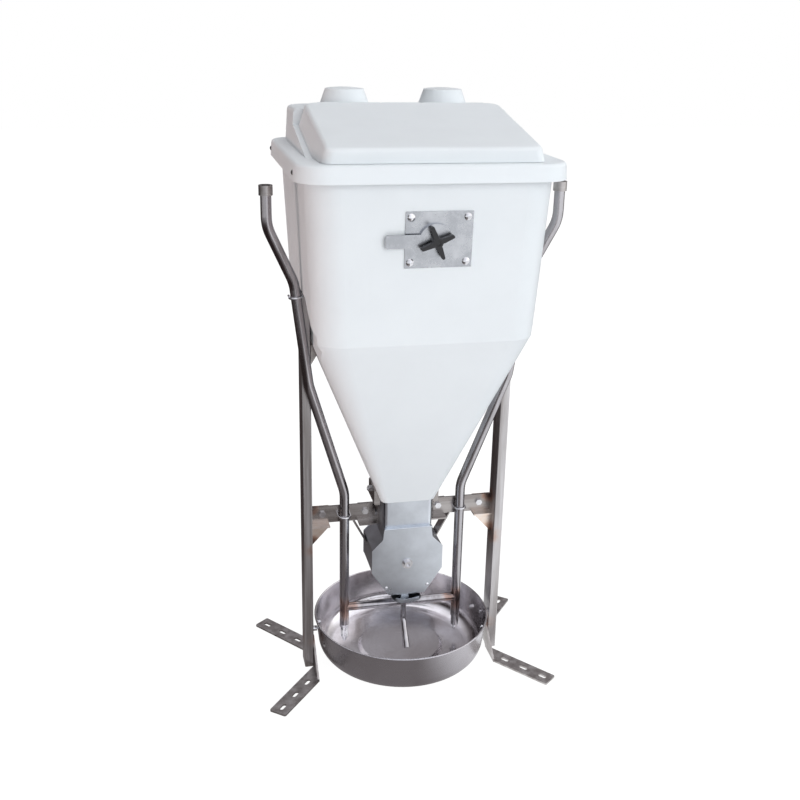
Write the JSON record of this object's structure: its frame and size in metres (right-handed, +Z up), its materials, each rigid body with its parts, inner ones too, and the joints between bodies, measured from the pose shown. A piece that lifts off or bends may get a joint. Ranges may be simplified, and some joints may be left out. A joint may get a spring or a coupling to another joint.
{
  "type": "wet and dry hopper feeder",
  "caption": "Livestock feeder: plastic hopper with a filling flap on two steel posts, lever-worked feed housing, twin water pipes with nipples and a round trough.",
  "frame": {"origin": "on the ground, on the mirror plane, under the middle of the round trough", "axes": "+X to the feeder's right as seen from behind the camera at the front, +Y to its back, +Z up; the front with the dose lever faces -Y"},
  "size_m": [0.6442, 0.4908, 1.264],
  "materials": {
    "white_polyethylene": "satin translucent",
    "stainless_frame": "mill finish",
    "stainless_pipe": "mill finish",
    "stainless_sheet": "brushed",
    "polished_stainless": "polished",
    "bright_fittings": "bright",
    "black_plastic": "moulded"
  },
  "bodies": {
    "frame": {"brace_left": "stainless_frame", "brace_right": "stainless_frame", "clip_nuts": "bright_fittings", "cover": "white_polyethylene", "cover_screws": "bright_fittings", "cross_pipe": "stainless_pipe", "crossbar_left": "stainless_frame", "crossbar_right": "stainless_frame", "dome_screws": "bright_fittings", "foot_back_left": "stainless_frame", "foot_back_right": "stainless_frame", "foot_front_left": "stainless_frame", "foot_front_right": "stainless_frame", "frame_bolts": "bright_fittings", "gusset_left": "stainless_frame", "gusset_right": "stainless_frame", "hanger_left": "stainless_frame", "hanger_right": "stainless_frame", "hinge_pin": "bright_fittings", "hopper": "white_polyethylene", "hopper_bracket_left": "stainless_frame", "hopper_bracket_right": "stainless_frame", "housing_back": "stainless_sheet", "housing_front": "stainless_sheet", "housing_screws": "bright_fittings", "housing_side_left": "stainless_sheet", "housing_side_right": "stainless_sheet", "lower_clips": "bright_fittings", "neck": "stainless_sheet", "nipple_body_left": "bright_fittings", "nipple_body_right": "bright_fittings", "pan": "polished_stainless", "pan_bolts": "bright_fittings", "pipe_coupling_left": "stainless_pipe", "pipe_coupling_right": "stainless_pipe", "pivot_bolt": "bright_fittings", "plate_screws": "bright_fittings", "post_caps": "black_plastic", "post_left": "stainless_frame", "post_right": "stainless_frame", "regulator_plate": "stainless_sheet", "throat_clamp_left": "stainless_frame", "throat_clamp_right": "stainless_frame", "upper_clip_left": "bright_fittings", "upper_clip_right": "bright_fittings", "water_pipe_left": "stainless_pipe", "water_pipe_right": "stainless_pipe"},
    "flap": {"filling_flap": "white_polyethylene"},
    "feed_rocker": {"rocker": "stainless_sheet", "feed_tray": "stainless_sheet", "feed_lever": "bright_fittings", "lever_nuts": "bright_fittings"},
    "dose_lever": {"dose_lever": "stainless_sheet", "dose_shaft": "bright_fittings", "crank_arm": "bright_fittings"},
    "star_knob": {"star_knob": "black_plastic"},
    "dose_gate": {"dose_rod": "bright_fittings", "dose_shutter": "stainless_sheet"},
    "nipple_pin_left": {"nipple_pin_left": "bright_fittings"},
    "nipple_pin_right": {"nipple_pin_right": "bright_fittings"}
  },
  "joints": [
    {"name": "flap_hinge", "type": "hinge", "parent": "frame", "child": "flap", "pos_m": [0, 0.0975, 1.2328], "axis": [-1, 0, 0], "range_deg": [0, 100]},
    {"name": "lever_swing", "type": "hinge", "parent": "frame", "child": "feed_rocker", "pos_m": [0, 0, 0.262], "axis": [0, 1, 0], "range_deg": [-20, 20]},
    {"name": "dose_lever_turn", "type": "hinge", "parent": "frame", "child": "dose_lever", "pos_m": [0, -0.20628, 1.018], "axis": [0, 0.9987, 0.0503], "range_deg": [-30, 30]},
    {"name": "dose_gate_lift", "type": "slide", "parent": "frame", "child": "dose_gate", "axis": [0, 0, 1], "range_m": [-0.016, 0.016]},
    {"name": "star_knob_turn", "type": "hinge", "parent": "dose_lever", "child": "star_knob", "pos_m": [0, -0.20628, 1.018], "axis": [0, 0.9987, 0.0503], "range_deg": [-180, 180]},
    {"name": "nipple_push_left", "type": "slide", "parent": "frame", "child": "nipple_pin_left", "axis": [0, 0, 1], "range_m": [0, 0.003], "stiffness_N_per_m": 600, "springref_m": -0.002},
    {"name": "nipple_push_right", "type": "slide", "parent": "frame", "child": "nipple_pin_right", "axis": [0, 0, 1], "range_m": [0, 0.003], "stiffness_N_per_m": 600, "springref_m": -0.002}
  ],
  "couplings": [
    {"joint": "dose_gate_lift", "follows": "dose_lever_turn", "m_per_rad": 0.03}
  ]
}
